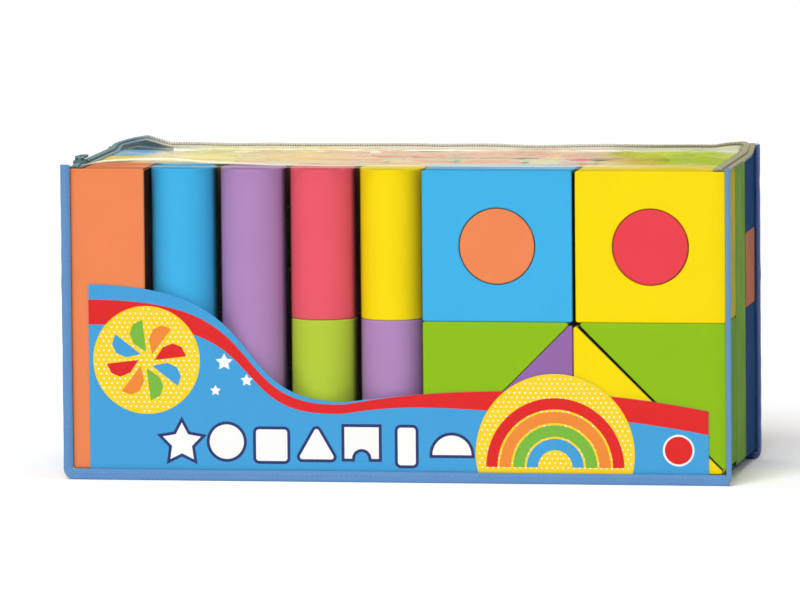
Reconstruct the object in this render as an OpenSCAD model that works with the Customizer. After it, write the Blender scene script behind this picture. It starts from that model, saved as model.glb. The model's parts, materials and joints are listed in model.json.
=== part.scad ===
// Set of large foam building blocks, packed three layers deep in a clear film bag with bound seams,
// a zipped lid that folds open at the front and a printed card behind the front film.
// The front faces -Y, +X is to the right, +Z is up. The origin is on the ground under the middle.

/* [Foam blocks] */
// Side of a square block, also the height of drums and wedges
square_side = 100; // [80:1:120]
// Thickness of the flat blocks, front to back
block_t = 50; // [46.5:0.5:60]
// Width of planks, upright bricks and cubes
plank_w = 50; // [40:1:60]
// Diameter of columns, drums, stubs and half rounds
cylinder_d = 44; // [36:0.5:50]
// Diameter of the plug in a square block
plug_d = 50; // [30:1:70]
// Diameter of the arch's opening
arch_d = 100; // [60:1:140]
// Gap round a plug, and round the half disc in the arch
plug_gap = 0.4; // [0.3:0.05:0.6]
// Gap beside a plank, and between the columns and the squares of a layer
column_gap = 0.9; // [0.4:0.1:0.9]
// Gap between neighbouring columns
drum_gap = 2.8; // [0.4:0.1:4]
// Gap between neighbouring squares
square_gap = 2; // [0.4:0.1:4]
// Gap between the layers of blocks
layer_gap = 0.4; // [0.3:0.1:0.9]
// Gap between two wedges, and between two half rounds
wedge_gap = 0.9; // [0.3:0.1:0.9]
// Gap between stacked stubs
stub_gap = 0.3; // [0.2:0.1:0.8]

/* [Bag] */
// Thickness of the clear film
film_t = 0.5; // [0.3:0.05:0.8]
// Room between the blocks and the side film
side_room = 0.6; // [0.3:0.1:0.9]
// Room between the blocks and the zip above them
top_room = 0.6; // [0.3:0.1:0.9]
// Width of the binding along the bottom of the seams
binding_w = 6.4; // [4:0.2:8]
// Width of the binding up the sides of the seams
side_binding_w = 4.6; // [4:0.2:8]
// Thickness of the folded binding tape
tape_t = 0.9; // [0.6:0.1:1.4]
// Outer radius of the binding's bottom corners
seam_r = 7; // [6.5:0.5:10]
// Gap between the binding and the side film
binding_gap = 0.2; // [0.1:0.05:0.4]
// Radius of the rolled fold that the lid turns on
fold_r = 0.9; // [0.6:0.1:1.4]
// Gap between the fold and the front film
fold_gap = 0.3; // [0.3:0.1:0.6]

/* [Zip] */
// Width of each half of the zip tape
zip_w = 5; // [4.5:0.5:9]
// Thickness of the zip tape
zip_t = 0.6; // [0.4:0.1:0.9]
// Width of each half of the zip coil
coil_w = 1.9; // [1.4:0.1:2.6]
// Height of the zip coil above its tape
coil_h = 1.6; // [1.2:0.1:2.4]
// Gap between the two halves of the coil
coil_gap = 0.3; // [0.3:0.1:0.5]
// Radius of the zip's back corners, at the middle of the coil
zip_r = 14; // [11:1:24]
// Distance of the tape's front ends from the fold
zip_end = 3; // [2.5:0.5:8]
// Distance of the parked slider's middle from the fold
park_y = 18; // [18:1:40]
// Length of the slider
slider_l = 10; // [8:0.5:14]
// Thickness of the slider's top plate and side walls
slider_t = 1.2; // [0.8:0.1:1.8]
// Gap between the slider and the coil and tape
slider_gap = 0.3; // [0.3:0.05:0.5]
// Width of the lug on the slider
lug_w = 2.4; // [2:0.1:3.4]
// Diameter of the pull's pin
pin_d = 1.6; // [1.2:0.1:2]
// Radial clearance of the pin in the lug
pin_fit = 0.08; // [0.05:0.01:0.1]
// Metal round the pin in the lug and the pull
arm_wall = 0.5; // [0.4:0.05:0.8]
// Gap between the lug and the pull's arms
arm_gap = 0.3; // [0.3:0.05:0.5]
// Width of each of the pull's arms
arm_w = 1.5; // [1:0.1:2]
// Length of the pull from its pin
pull_l = 18; // [14:0.5:20]
// Thickness of the pull
pull_t = 1.4; // [1:0.1:1.8]

/* [Card] */
// Distance of the card's ends from the ends of the blocks
card_inset = 12; // [8:1:30]
// Thickness of the card
card_t = 0.6; // [0.3:0.1:1]
// Gap in front of and behind the card
card_gap = 0.3; // [0.2:0.05:0.5]
// Height of the card's left end
card_left_h = 123; // [90:1:150]
// Height of the card's right end
card_right_h = 42; // [30:1:60]
// Height of the card where it is lowest
trough_h = 46; // [30:1:60]
// Distance of the lowest place from the card's left end
trough_x = 172; // [150:1:190]
// Distance of the round badge's middle from the card's right end
badge_x = 102; // [80:1:130]
// Height of the round badge's middle
badge_z = 13; // [5:1:30]
// Radius of the round badge
badge_r = 53; // [40:1:56]

/* [Hidden] */
$fn = 96;

orange = "#F28C58";
blue = "#40B1E8";
purple = "#B088BE";
red = "#EA5060";
yellow = "#F8DE14";
green = "#8EC020";
clear = [0.9, 0.95, 1, 0.25];
binding_blue = "#6096D7";
zip_grey = "#B9B3A2";
zip_metal = "#94907C";
card_blue = "#38A0DC";

tall_h = 2 * square_side;
half_h = square_side / 2;
column_pitch = cylinder_d + drum_gap;
square_pitch = square_side + square_gap;
columns_w = 4 * cylinder_d + 3 * drum_gap;
squares_w = 2 * square_side + square_gap;
blocks_w = plank_w + columns_w + squares_w + 2 * column_gap;
layer_pitch = max(block_t, cylinder_d) + layer_gap;
blocks_d = 2 * layer_pitch + max(block_t, cylinder_d);
left = -blocks_w / 2;
right = blocks_w / 2;

front_y = -layer_pitch;
middle_y = 0;
back_y = layer_pitch;
floor_z = binding_w + binding_gap + film_t;
top_z = floor_z + tall_h;

film_x = blocks_w / 2 + side_room + film_t;
film_y = blocks_d / 2 + 2 * card_gap + card_t + film_t;
bound_x = film_x + binding_gap + side_binding_w;
rim_z = top_z + top_room;
zip_top = rim_z + zip_t;
lid_z = zip_top + film_t;

coil_x = film_x - zip_w;
coil_y = film_y - zip_w;
coil_top = zip_top + coil_h;
plate_z = coil_top + slider_gap;
plate_w = 2 * (coil_w + slider_gap + slider_t) + coil_gap;
arm_r = pin_d / 2 + arm_wall;
pin_z = plate_z + slider_t + arm_r + slider_gap;
park = park_y - film_y;
card_w = blocks_w - 2 * card_inset;
card_y = -film_y + film_t + card_gap;

// Middles of the columns and squares in each layer, from the left
function front_column_x(i) = left + plank_w + column_gap + cylinder_d / 2 + i * column_pitch;
function front_square_x(i) = right - square_side / 2 - (1 - i) * square_pitch;
function middle_square_x(i) = left + square_side / 2 + i * square_pitch;
function middle_column_x(i) = left + squares_w + column_gap + cylinder_d / 2 + i * column_pitch;
function back_column_x(i) = left + cylinder_d / 2 + i * column_pitch;
function back_square_x(i) = left + columns_w + column_gap + square_side / 2 + i * square_pitch;

// Point at t on the cubic curve through a and d, drawn towards b and c
function curve(a, b, c, d, t) =
    pow(1 - t, 3) * a + 3 * pow(1 - t, 2) * t * b + 3 * (1 - t) * t * t * c + pow(t, 3) * d;

// Turns a flat outline in X and Z into a plate of thickness t whose front is at y
module plate(y, t) translate([0, y + t, 0]) rotate([90, 0, 0]) linear_extrude(t) children();

// Blocks: each stands on z = 0 in the middle of its layer
module upright(w, h) translate([-w / 2, -block_t / 2, 0]) cube([w, block_t, h]);

module drum(h) cylinder(d = cylinder_d, h = h);

module bore(d) translate([0, block_t, half_h]) rotate([90, 0, 0]) cylinder(d = d, h = 2 * block_t);

module square_block() difference() {
    upright(square_side, square_side);
    bore(plug_d + 2 * plug_gap);
}

module plug() translate([0, block_t / 2, half_h]) rotate([90, 0, 0]) cylinder(d = plug_d, h = block_t);

// Right-angled wedge in a square cell, its square corner at the bottom left before it is turned
module wedge(turn) {
    leg = square_side - wedge_gap / sqrt(2);
    corner = -half_h;
    translate([0, 0, half_h]) rotate([0, -turn, 0]) plate(-block_t / 2, block_t)
        polygon([[corner, corner], [corner + leg, corner], [corner, corner + leg]]);
}

module half_round(side) intersection() {
    drum(tall_h);
    translate([side * (cylinder_d + wedge_gap) / 2 - cylinder_d / 2, -cylinder_d, 0])
        cube([cylinder_d, 2 * cylinder_d, tall_h]);
}

module arch() difference() {
    upright(squares_w, square_side);
    translate([0, block_t, 0]) rotate([90, 0, 0]) cylinder(d = arch_d, h = 2 * block_t);
}

module half_disc() {
    r = arch_d / 2 - plug_gap;
    intersection() {
        translate([0, block_t / 2, 0]) rotate([90, 0, 0]) cylinder(r = r, h = block_t);
        translate([-r, -block_t, 0]) cube([2 * r, 2 * block_t, r]);
    }
}

module block(colour, x, y, z = 0) color(colour) translate([x, y, floor_z + z]) children();

// Front layer
module front_orange_plank() block(orange, left + plank_w / 2, front_y) upright(plank_w, tall_h);
module front_blue_column() block(blue, front_column_x(0), front_y) drum(tall_h);
module front_purple_column() block(purple, front_column_x(1), front_y) drum(tall_h);
module front_red_drum() block(red, front_column_x(2), front_y, square_side) drum(square_side);
module front_green_drum() block(green, front_column_x(2), front_y) drum(square_side);
module front_yellow_drum() block(yellow, front_column_x(3), front_y, square_side) drum(square_side);
module front_purple_drum() block(purple, front_column_x(3), front_y) drum(square_side);
module front_blue_square() block(blue, front_square_x(0), front_y, square_side) square_block();
module front_orange_plug() block(orange, front_square_x(0), front_y, square_side) plug();
module front_yellow_square() block(yellow, front_square_x(1), front_y, square_side) square_block();
module front_red_plug() block(red, front_square_x(1), front_y, square_side) plug();
module front_green_wedge_left() block(green, front_square_x(0), front_y) wedge(-90);
module front_purple_wedge() block(purple, front_square_x(0), front_y) wedge(90);
module front_yellow_wedge() block(yellow, front_square_x(1), front_y) wedge(0);
module front_green_wedge_right() block(green, front_square_x(1), front_y) wedge(180);

// Middle layer
module middle_yellow_square() block(yellow, middle_square_x(0), middle_y, square_side) square_block();
module middle_blue_plug() block(blue, middle_square_x(0), middle_y, square_side) plug();
module middle_orange_square() block(orange, middle_square_x(1), middle_y, square_side) square_block();
module middle_green_plug() block(green, middle_square_x(1), middle_y, square_side) plug();
module middle_blue_wedge() block(blue, middle_square_x(0), middle_y) wedge(0);
module middle_orange_wedge() block(orange, middle_square_x(0), middle_y) wedge(180);
module middle_purple_wedge() block(purple, middle_square_x(1), middle_y) wedge(0);
module middle_red_wedge() block(red, middle_square_x(1), middle_y) wedge(180);
module middle_orange_column() block(orange, middle_column_x(0), middle_y) drum(tall_h);
module middle_orange_drum() block(orange, middle_column_x(1), middle_y, square_side) drum(square_side);
module middle_blue_drum() block(blue, middle_column_x(1), middle_y) drum(square_side);
module middle_yellow_half_round() block(yellow, middle_column_x(2), middle_y) half_round(-1);
module middle_red_half_round() block(red, middle_column_x(2), middle_y) half_round(1);
module middle_orange_stubs() for (i = [0:3])
    block(orange, middle_column_x(3), middle_y, i * half_h) drum(half_h - stub_gap);
module middle_green_plank() block(green, right - plank_w / 2, middle_y) upright(plank_w, tall_h);

// Back layer
module back_blue_column() block(blue, back_column_x(0), back_y) drum(tall_h);
module back_green_drum() block(green, back_column_x(1), back_y, square_side) drum(square_side);
module back_blue_drum() block(blue, back_column_x(1), back_y) drum(square_side);
module back_purple_column() block(purple, back_column_x(2), back_y) drum(tall_h);
module back_red_drum() block(red, back_column_x(3), back_y, square_side) drum(square_side);
module back_yellow_drum() block(yellow, back_column_x(3), back_y) drum(square_side);
module back_orange_arch() block(orange, back_square_x(0.5), back_y, square_side) arch();
module back_yellow_half_disc() block(yellow, back_square_x(0.5), back_y, square_side) half_disc();
module back_red_brick() block(red, back_square_x(0), back_y, half_h) upright(square_side, half_h);
module back_green_brick() block(green, back_square_x(0), back_y) upright(square_side, half_h);
module back_purple_brick() block(purple, back_square_x(1), back_y, half_h) upright(square_side, half_h);
module back_yellow_brick() block(yellow, back_square_x(1), back_y) upright(square_side, half_h);
module back_blue_brick() block(blue, right - plank_w / 2, back_y) upright(plank_w, square_side);
module back_orange_cube() block(orange, right - plank_w / 2, back_y, square_side) upright(plank_w, half_h);
module back_blue_cube()
    block(blue, right - plank_w / 2, back_y, square_side + half_h) upright(plank_w, half_h);

// Outline of a bound panel drawn in by inset from the binding's outer edge, open at the top
module panel_outline(inset, top) {
    half_w = bound_x - inset;
    r = seam_r - inset;
    translate([-half_w, inset + r]) square([2 * half_w, top - inset - r]);
    translate([r - half_w, inset]) square([2 * (half_w - r), 2 * r]);
    for (x = [r - half_w, half_w - r]) translate([x, inset + r]) circle(r);
}

// Outline of the bag's box in X and Z: its film's outside, drawn in by inset
module box_outline(inset, top)
    translate([inset - film_x, floor_z - film_t + inset]) square([2 * (film_x - inset), top]);

module binding_ring(top) difference() {
    panel_outline(0, top);
    box_outline(-binding_gap, 2 * top);
}

module binding(top) color(binding_blue) {
    fold_t = 2 * film_t + 2 * tape_t;
    difference() {
        plate(-film_y - tape_t, fold_t) binding_ring(top);
        plate(-film_y, 2 * film_t) panel_outline(tape_t, 2 * top);
    }
}

front_top = lid_z - fold_r - fold_gap;

module front_panel() color(clear) plate(-film_y, film_t) panel_outline(tape_t, front_top);

module back_panel() color(clear) plate(film_y - film_t, film_t) panel_outline(tape_t, rim_z);

// One strip of film: both sides and the bottom, its edges turned out into the two seams
module gusset() color(clear) {
    run = 2 * (film_y - film_t);
    plate(film_t - film_y, run) difference() {
        box_outline(0, rim_z - floor_z + film_t);
        box_outline(film_t, 2 * rim_z);
    }
    seam_edge(film_t - film_y, front_top);
    seam_edge(film_y - 2 * film_t, rim_z);
}

module seam_edge(y, top) plate(y, film_t) difference() {
    panel_outline(tape_t, top);
    box_outline(film_t, 2 * top);
}

module front_binding() binding(front_top);

module back_binding() mirror([0, 1, 0]) binding(rim_z);

// Outline of the zip's run seen from above, drawn out by grow from the middle of the coil
module zip_outline(grow, front) {
    half_w = coil_x + grow;
    back = coil_y + grow;
    r = zip_r + grow;
    translate([-half_w, front]) square([2 * half_w, back - r - front]);
    translate([r - half_w, front]) square([2 * (half_w - r), back - front]);
    for (x = [r - half_w, half_w - r]) translate([x, back - r]) circle(r);
}

zip_front = zip_end - film_y;
cut_front = -2 * film_y;

module body_zip() color(zip_grey) {
    translate([0, 0, rim_z]) linear_extrude(zip_t) difference() {
        translate([-film_x, zip_front]) square([2 * film_x, film_y - zip_front]);
        zip_outline(coil_gap / 2, cut_front);
    }
    translate([0, 0, zip_top]) linear_extrude(coil_h) difference() {
        zip_outline(coil_gap / 2 + coil_w, zip_front);
        zip_outline(coil_gap / 2, cut_front);
    }
}

module lid_zip() color(zip_grey) {
    translate([0, 0, rim_z]) linear_extrude(zip_t) difference() {
        zip_outline(-coil_gap / 2, zip_front);
        zip_outline(-zip_w, cut_front);
    }
    translate([0, 0, zip_top]) linear_extrude(coil_h) difference() {
        zip_outline(-coil_gap / 2, zip_front);
        zip_outline(-coil_gap / 2 - coil_w, cut_front);
    }
}

// Lid film with its rolled front edge, which the lid turns on
module lid_panel() color(clear) {
    edge = coil_gap / 2 + coil_w + slider_gap + slider_t + slider_gap;
    translate([0, 0, zip_top]) linear_extrude(film_t) zip_outline(-edge, -film_y);
    translate([edge - coil_x, -film_y, lid_z]) rotate([0, 90, 0])
        cylinder(r = fold_r, h = 2 * (coil_x - edge));
}

// Slider over the coil at the left front, with a lug for the pull
module zip_slider() color(zip_metal) translate([-coil_x, park, 0]) {
    wall_h = plate_z - zip_top - slider_gap;
    translate([-plate_w / 2, -slider_l / 2, plate_z]) cube([plate_w, slider_l, slider_t]);
    for (x = [-plate_w / 2, plate_w / 2 - slider_t])
        translate([x, -slider_l / 2, plate_z - wall_h]) cube([slider_t, slider_l, wall_h + slider_t / 2]);
    difference() {
        union() {
            translate([-lug_w / 2, -arm_r, plate_z]) cube([lug_w, 2 * arm_r, pin_z - plate_z]);
            translate([-lug_w / 2, 0, pin_z]) rotate([0, 90, 0]) cylinder(r = arm_r, h = lug_w);
        }
        translate([-lug_w, 0, pin_z]) rotate([0, 90, 0]) cylinder(d = pin_d + 2 * pin_fit, h = 2 * lug_w);
    }
}

// Pull: two arms on a pin through the lug, and a tab that lies back along the zip
module zip_pull() color(zip_metal) translate([-coil_x, park, pin_z]) {
    half_w = lug_w / 2 + arm_gap + arm_w;
    tab_y = arm_r + 2 * arm_gap + arm_w;
    translate([-half_w, 0, 0]) rotate([0, 90, 0]) cylinder(d = pin_d, h = 2 * half_w);
    for (x = [-half_w, half_w - arm_w]) {
        translate([x, 0, 0]) rotate([0, 90, 0]) cylinder(r = arm_r, h = arm_w);
        translate([x, 0, -pull_t / 2]) cube([arm_w, tab_y, pull_t]);
    }
    translate([-half_w, tab_y - arm_w, -pull_t / 2])
        cube([2 * half_w, pull_l - half_w - tab_y + arm_w, pull_t]);
    translate([0, pull_l - half_w, -pull_t / 2]) cylinder(r = half_w, h = pull_t);
}

// Card that stands behind the front film: a high left end, a long dip and a round badge
module label_card() color(card_blue) {
    steps = 24;
    ends = [-card_w / 2, card_w / 2];
    dip = ends[0] + trough_x;
    // How far the two curves are drawn out, as shares of their runs and of the badge's height
    leave = 0.76;
    arrive = 0.5;
    set_out = 0.31;
    come_in = 0.64;
    swell_h = 0.8;
    drop = trough_x * leave;
    rise = trough_x * arrive;
    sweep = card_w / 2 - dip;
    crest = trough_h + badge_z;
    fall = [for (i = [0:steps]) curve([ends[0], card_left_h], [ends[0] + drop, card_left_h],
        [dip - rise, trough_h], [dip, trough_h], i / steps)];
    swell = [for (i = [1:steps]) curve([dip, trough_h], [dip + set_out * sweep, trough_h + swell_h * badge_z],
        [dip + come_in * sweep, crest], [ends[1], card_right_h], i / steps)];
    translate([0, 0, floor_z]) {
        plate(card_y, card_t) polygon(concat([[ends[0], 0]], fall, swell, [[ends[1], 0]]));
        plate(card_y, card_t) translate([ends[1] - badge_x, 0]) intersection() {
            translate([0, badge_z]) circle(badge_r);
            translate([-badge_r, 0]) square([2 * badge_r, badge_z + badge_r]);
        }
    }
}

front_orange_plank();
front_blue_column();
front_purple_column();
front_red_drum();
front_green_drum();
front_yellow_drum();
front_purple_drum();
front_blue_square();
front_orange_plug();
front_yellow_square();
front_red_plug();
front_green_wedge_left();
front_purple_wedge();
front_yellow_wedge();
front_green_wedge_right();
middle_yellow_square();
middle_blue_plug();
middle_orange_square();
middle_green_plug();
middle_blue_wedge();
middle_orange_wedge();
middle_purple_wedge();
middle_red_wedge();
middle_orange_column();
middle_orange_drum();
middle_blue_drum();
middle_yellow_half_round();
middle_red_half_round();
middle_orange_stubs();
middle_green_plank();
back_blue_column();
back_green_drum();
back_blue_drum();
back_purple_column();
back_red_drum();
back_yellow_drum();
back_orange_arch();
back_yellow_half_disc();
back_red_brick();
back_green_brick();
back_purple_brick();
back_yellow_brick();
back_blue_brick();
back_orange_cube();
back_blue_cube();
front_panel();
back_panel();
gusset();
lid_panel();
front_binding();
back_binding();
body_zip();
lid_zip();
zip_slider();
zip_pull();
label_card();
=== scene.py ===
import json
import math
import bmesh
import bpy
from mathutils import Matrix, Vector, noise


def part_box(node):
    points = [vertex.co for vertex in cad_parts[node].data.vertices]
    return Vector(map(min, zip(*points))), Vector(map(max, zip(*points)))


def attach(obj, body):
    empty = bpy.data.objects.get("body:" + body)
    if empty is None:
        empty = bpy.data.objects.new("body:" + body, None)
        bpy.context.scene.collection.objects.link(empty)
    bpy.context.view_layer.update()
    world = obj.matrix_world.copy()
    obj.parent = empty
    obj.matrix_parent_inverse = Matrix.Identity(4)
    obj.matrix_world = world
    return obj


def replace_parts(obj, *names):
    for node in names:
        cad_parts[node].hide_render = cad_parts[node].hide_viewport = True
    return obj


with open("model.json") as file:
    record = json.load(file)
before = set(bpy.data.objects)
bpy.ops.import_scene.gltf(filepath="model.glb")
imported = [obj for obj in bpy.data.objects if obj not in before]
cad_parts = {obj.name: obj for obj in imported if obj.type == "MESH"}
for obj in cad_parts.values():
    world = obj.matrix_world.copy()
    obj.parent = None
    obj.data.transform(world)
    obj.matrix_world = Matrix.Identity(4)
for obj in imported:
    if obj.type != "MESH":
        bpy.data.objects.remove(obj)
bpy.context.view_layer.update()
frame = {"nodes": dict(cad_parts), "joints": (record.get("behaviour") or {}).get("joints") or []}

print("frame loaded:", len(frame["nodes"]), "nodes")


# Shader wiring: a socket that can be used in sums
class Wire:
    def __init__(self, tree, socket):
        self.tree = tree
        self.socket = socket

    def add(self, kind, settings=None, links=None, out=0):
        node = self.tree.nodes.new(kind)
        for key, value in (settings or {}).items():
            setattr(node, key, value)
        for key, value in (links or {}).items():
            if isinstance(value, Wire):
                self.tree.links.new(value.socket, node.inputs[key])
            else:
                node.inputs[key].default_value = value
        return Wire(self.tree, node.outputs[out])

    def math(self, operation, first, second=0.0):
        return self.add("ShaderNodeMath", {"operation": operation}, {0: first, 1: second})

    def __add__(self, other):
        return self.math("ADD", self, other)

    def __sub__(self, other):
        return self.math("SUBTRACT", self, other)

    def __rsub__(self, other):
        return self.math("SUBTRACT", other, self)

    def __mul__(self, other):
        return self.math("MULTIPLY", self, other)

    def __pow__(self, other):
        return self.math("POWER", self, other)

    __radd__ = __add__
    __rmul__ = __mul__

    def sine(self):
        return self.math("SINE", self)

    def size(self):
        return self.math("ABSOLUTE", self)

    def most(self, other):
        return self.math("MAXIMUM", self, other)

    def clamp(self):
        return self.math("MINIMUM", self.most(0.0), 1.0)

    # 0 up to a start, then rising to 1; a negative steepness rises the other way
    def past(self, start, steep):
        return ((self - start) * steep).clamp()

    def parts(self):
        return [self.add("ShaderNodeSeparateXYZ", links={0: self}, out=i) for i in range(3)]

    def mixColour(self, first, second):
        links = {0: self, 6: first, 7: second}
        return self.add("ShaderNodeMix", {"data_type": "RGBA"}, links, 2)


exposure = 0.72    # the studio is brighter than plain white, so the tones are held back


# Screen tone, 0 to 255, to linear light
def linear(rgb):
    tone = [(c / 255 / 12.92 if c <= 10 else ((c / 255 + 0.055) / 1.055) ** 2.4) for c in rgb]
    return (*[c * exposure for c in tone], 1.0)


def shaded(tone, gain):
    return (*[min(1, c * gain) for c in tone[:3]], 1.0)


def toned(shade, tone, dark, light):
    return shade.mixColour(shaded(tone, dark), shaded(tone, light))


# A new finish: its object coordinates and its main shader
def startFinish(name, constants):
    finish = bpy.data.materials.new(name)
    finish.use_nodes = True
    tree = finish.node_tree
    shader = tree.nodes["Principled BSDF"]
    for key, value in constants.items():
        shader.inputs[key].default_value = value
    place = Wire(tree, None).add("ShaderNodeTexCoord", out="Object")
    return finish, shader, place


def feed(shader, socket, wire):
    wire.tree.links.new(wire.socket, shader.inputs[socket])


def addBump(shader, height, strength, distance):
    links = {"Strength": strength, "Distance": distance, "Height": height}
    feed(shader, "Normal", height.add("ShaderNodeBump", links=links, out="Normal"))


def noiseAt(place, scale, detail=3.0):
    links = {"Vector": place, "Scale": scale, "Detail": detail}
    return place.add("ShaderNodeTexNoise", links=links, out=0)


def stretched(place, x, y, z):
    links = {0: place, 1: (x, y, z)}
    return place.add("ShaderNodeVectorMath", {"operation": "MULTIPLY"}, links)


# Corners of a node in millimetres
def cornersOf(node):
    low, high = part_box(node)
    return low * 1000, high * 1000


foam = {
    "tones": {
        "orange": (241, 138, 87), "blue": (66, 180, 233), "purple": (178, 137, 190),
        "red": (236, 92, 108), "yellow": (250, 222, 10), "green": (144, 192, 26),
    },
    "batches": {     # blocks cut from another batch of sheet
        "front_red_plug": (234, 68, 80), "front_purple_wedge": (150, 106, 170),
        "front_green_drum": (182, 206, 62), "middle_green_plank": (156, 200, 38),
        "back_blue_cube": (36, 62, 134), "back_blue_brick": (36, 62, 134),
    },
    "rounding": (1.1, 1.6),    # of the cut edges and of the upright corners
    "sharp": ("back_blue_cube", "back_orange_cube", "back_blue_brick"), "sharpRounding": (0.5, 0.6),
    "round": 72, "arc": 48,    # points round a cylinder, and along an arch or a half round
    "archR": 50.0, "holeGap": 0.4, "stubs": 4, "stubGap": 0.3,
    # Wedges pushed up against their neighbours, to the left and upwards
    "snug": {"front_yellow_wedge": (1.6, 0.0), "front_purple_wedge": (1.0, 0.9)},
    "dark": 0.93, "light": 1.07, "gloss": 0.03,
    "mottle": 38.0, "cells": 950.0, "grain": 2600.0, "bump": 0.14, "bumpDeep": 0.0003,
    # Painted shade: faces between blocks take a darker copy of their tone where layers meet, and on sides
    # and slopes inside the bag
    "paintedShade": 0.07, "seam": 0.0254, "seamHalf": 0.0013,
    "sideFrom": 0.9, "slopeFrom": 0.4, "sideSteep": 10.0,
    "outer": 0.216, "outerSteep": 800.0, "face": 0.0754, "faceSteep": 400.0,
}
plugLow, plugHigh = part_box("front_orange_plug")
foam["hole"] = (plugHigh.x - plugLow.x) * 500 + foam["holeGap"]


def foamFinish(name, rgb):
    finish, shader, place = startFinish("foam_" + name, {"Specular IOR Level": foam["gloss"]})
    mottle = noiseAt(place, foam["mottle"], 4.0)
    links = {"Vector": place, "Scale": foam["cells"]}
    cells = place.add("ShaderNodeTexVoronoi", links=links, out="Distance")
    grain = noiseAt(place, foam["grain"], 2.0)
    shade = (mottle * 0.55 + cells * 0.3 + grain * 0.25 - 0.05).clamp()
    x, y, _ = place.parts()
    across, _, up = place.add("ShaderNodeTexCoord", out="Normal").parts()
    # Painted shade: a mask of the faces between blocks, whose colour is darkened
    away = y.size() - foam["seam"]
    seam = (2 - away.size() * (2 / foam["seamHalf"])).clamp()
    side = across.size().past(foam["sideFrom"], foam["sideSteep"])
    slope = (across * up).size().past(foam["slopeFrom"], foam["sideSteep"])
    inner = x.size().past(foam["outer"], -foam["outerSteep"])
    depth = y.size().past(foam["face"], -foam["faceSteep"])
    shadow = seam.most(side.most(slope) * inner * depth)
    tone = linear(rgb)
    colour = toned(shade, tone, foam["dark"], foam["light"])
    feed(shader, "Base Color", shadow.mixColour(colour, shaded(tone, foam["paintedShade"])))
    feed(shader, "Roughness", 0.62 + mottle * 0.14 + grain * 0.06)
    addBump(shader, cells * 0.5 + grain * 0.3 + mottle * 0.8, foam["bump"], foam["bumpDeep"])
    return finish


film = {
    "thick": 0.3,
    "front": {"tone": (0.9, 0.93, 0.95, 1), "veil": 0.0015, "hazeAndReflection": 0.25, "power": 3.0,
              "rough": 0.12, "gloss": 0.4},
    "back": {"tone": (0.9, 0.93, 0.95, 1), "veil": 0.006, "hazeAndReflection": 0.05, "power": 3.0,
             "rough": 0.16, "gloss": 0.4},
    # The gusset's dark tone is painted shade over the side of the bag
    "gusset": {"tone": (0.02, 0.085, 0.12, 1), "veil": 0.004, "hazeAndReflection": 0.28, "power": 3.0,
               "rough": 0.3, "gloss": 0.0},
    "lid": {"tone": (0.98, 0.92, 0.7, 1), "veil": 0.02, "hazeAndReflection": 0.42, "power": 2.6,
            "rough": 0.3, "gloss": 0.15},
    "creases": (9.0, 55.0, 30.0), "scuffs": 260.0,
    "rim": 0.55, "rimAbove": (0.2078, 1500.0),    # hem of the back film, above the blocks
}

# Marks on the lid film; a pair is where a soft edge starts, in metres, and how steep it is
lidMarks = {
    "fold": 0.7, "foldAt": -0.0733, "foldSteep": 900.0,    # painted highlight along the line where it is folded over
    "clearing": 0.75, "clearRight": (0.1, 12.0), "clearLeft": (-0.168, -60.0),    # flatter at both ends
    "hem": 0.3, "hemBack": (0.05, 45.0), "hemLeft": (-0.165, 40.0),    # doubled along the back
    "tint": 0.76, "tintRight": (0.12, 25.0), "tintBack": (-0.006, 60.0), "tintFront": (-0.06, 60.0),
    "lime": (0.56, 0.66, 0.06, 1), "olive": (0.64, 0.66, 0.42, 1), "oliveBack": (0.04, 120.0),
    # A creamy patch of painted reflection over the middle of the lid, in the cream tone below
    "milkyReflection": 0.28, "milkLeft": (-0.162, 60.0), "milkRight": (-0.02, -20.0), "milkBack": (-0.06, 60.0),
    "cream": (0.93, 0.85, 0.44, 1),
    "graze": 1.5,    # tint and the painted reflection show most at low angles
}


def markLid(shader, place, facing, crease, cover):
    x, y, _ = place.parts()

    def edge(wire, name):
        return wire.past(*lidMarks[name])

    tint = (edge(y, "tintBack") * 0.62 + edge(y, "tintFront") * 0.38) * edge(x, "tintRight")
    # Painted reflection: a creamy patch over the middle of the lid
    milkyReflection = edge(x, "milkLeft") * edge(x, "milkRight") * edge(y, "milkBack")
    hem = edge(y, "hemBack") * edge(x, "hemLeft")
    away = (y - lidMarks["foldAt"]) * lidMarks["foldSteep"]
    for end in ("clearRight", "clearLeft"):
        cover = cover * (1 - lidMarks["clearing"] * edge(x, end))
    cover = cover + lidMarks["hem"] * hem * (0.5 + crease)
    cover = cover + (lidMarks["tint"] * tint + lidMarks["milkyReflection"] * milkyReflection) * (facing ** lidMarks["graze"])
    # Painted highlight where the film is folded over the hinge
    cover = cover + lidMarks["fold"] * (1 - away.size()).clamp() * (0.8 - x * 2.6).clamp()
    green = edge(y, "oliveBack").mixColour(lidMarks["lime"], lidMarks["olive"])
    cream = milkyReflection.mixColour(film["lid"]["tone"], lidMarks["cream"])
    feed(shader, "Base Color", (tint * 3.0).clamp().mixColour(cream, green))
    return cover


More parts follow.
